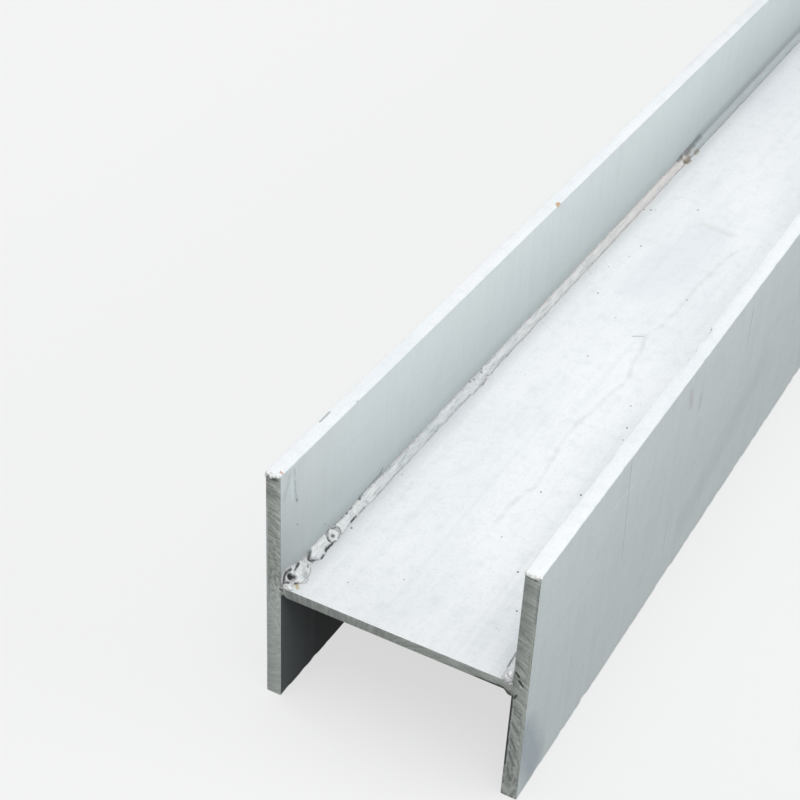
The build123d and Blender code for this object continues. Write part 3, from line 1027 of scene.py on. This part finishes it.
# %% Make the burrs
burr_material, tree = new_material("torn_bare_aluminium")
place = add(tree, "TexCoord").outputs["Object"]
folds = stretched_noise(tree, place, (1.6, 1.6, 1.6), detail=3.0)
colour = laid_over(tree, paint("#F1F2F1"), "#B4B8B4", folds, 0.45, 0.70, 0.60)
relief = add(tree, "Bump", {"Strength": 0.6, "Distance": 0.0006, "Height": folds})
torn = add(tree, "BsdfPrincipled", {
    "Base Color": colour, "Metallic": 0.35, "Roughness": 0.42, "Normal": relief.outputs[0],
})
add(tree, "OutputMaterial", {"Surface": torn.outputs[0]})

# Each lump has its centre from the sawn end and its three radii, in millimetres.
burr_lumps = [
    ((0.0, -89.2, 199.0), (1.2, 1.3, 1.5)), ((-0.1, -91.2, 198.3), (1.5, 2.2, 1.6)),
    ((-0.1, -93.8, 197.9), (1.6, 2.4, 1.6)), ((0.0, -96.4, 198.2), (1.5, 2.2, 1.6)),
    ((0.0, -98.6, 198.7), (1.2, 1.6, 1.2)),
    ((-0.3, 99.3, 197.2), (1.1, 0.9, 2.6)), ((-0.2, 97.5, 198.6), (1.3, 1.7, 1.4)),
    ((-0.4, 95.3, 197.6), (1.4, 1.6, 1.9)), ((-0.2, 93.1, 198.3), (1.3, 1.8, 1.5)),
    ((-0.1, 90.6, 198.7), (1.1, 1.7, 1.2)),
]
shape = bmesh.new()
for centre, radii in burr_lumps:
    blob(shape, from_end(*centre), radii, unevenness=0.25)
finish_piece("saw_burrs", shape, [burr_material])

# %% Make the spatter
faded_from, faded_to = near_end + 220 * mm, near_end + 420 * mm
spatter_material, tree = new_material("burnt_weld_spatter")
place = add(tree, "TexCoord").outputs["Object"]
scorch = stretched_noise(tree, place, (0.8, 0.8, 0.8), detail=2.0)
colour = laid_over(tree, paint("#565B5C"), "#8E9394", scorch, 0.40, 0.70, 0.80)
axes = add(tree, "SeparateXYZ", {0: place})
colour = laid_over(tree, colour, "#B4B6B3", axes.outputs["X"], faded_from, faded_to, 0.70)
drop_skin = add(tree, "BsdfPrincipled", {"Base Color": colour, "Metallic": 0.20, "Roughness": 0.50})
add(tree, "OutputMaterial", {"Surface": drop_skin.outputs[0]})

# Each drop on the web has its place along and across the beam and its radius, in millimetres.
web_drops = [
    (99.7, -43.7, 0.9), (63.3, -60.5, 0.7), (189.6, -19.3, 0.7), (202.2, -46.1, 0.8), (28, 51.5, 0.5),
    (127.8, -17.4, 0.5), (298.6, -42.5, 0.8), (282.3, -46.0, 0.6), (503.6, -13.5, 1.0), (51, 20, 0.5),
    (472.5, -48.3, 1.0), (471.5, 57.6, 0.9), (375.2, 24.7, 0.7), (569.2, 57.0, 1.0), (638.3, 75.2, 1.1),
    (635.8, 81.0, 0.9), (518.4, 67.7, 0.7), (545.1, 58.6, 0.6), (442.4, 28.3, 0.6), (663.4, 37.0, 1.0),
    (327.9, -33.7, 0.7),
]
stray_drops = 120
end_margin_mm = 5
nearest_mm, stray_reach_mm = 8, 34
smallest_mm, largest_mm = 0.25, 0.6
on_web_share = 0.5
drop_height_share = 0.45

random_place = random.Random(7)
shape = bmesh.new()
drops = [(from_end(x, y, web_high.z / mm), radius_mm, (1, 1, drop_height_share))
         for x, y, radius_mm in web_drops]
for _ in range(stray_drops):
    side = random_place.choice((-1, 1))
    x = random_place.uniform(end_margin_mm, (far_end - near_end) / mm - end_margin_mm)
    away = nearest_mm + stray_reach_mm * random_place.random() ** 2
    radius_mm = random_place.uniform(smallest_mm, largest_mm)
    if random_place.random() < on_web_share:
        at = from_end(x, side * (flange_inner / mm - away), web_high.z / mm)
        flat = (1, 1, drop_height_share)
    else:
        at = from_end(x, side * flange_inner / mm, web_high.z / mm + away)
        flat = (1, drop_height_share, 1)
    drops.append((at, radius_mm, flat))
for at, radius_mm, flat in drops:
    made = bmesh.ops.create_icosphere(shape, subdivisions=2, radius=radius_mm * mm)
    bmesh.ops.scale(shape, vec=flat, verts=made["verts"])
    bmesh.ops.translate(shape, vec=at, verts=made["verts"])
finish_piece("weld_spatter", shape, [spatter_material])
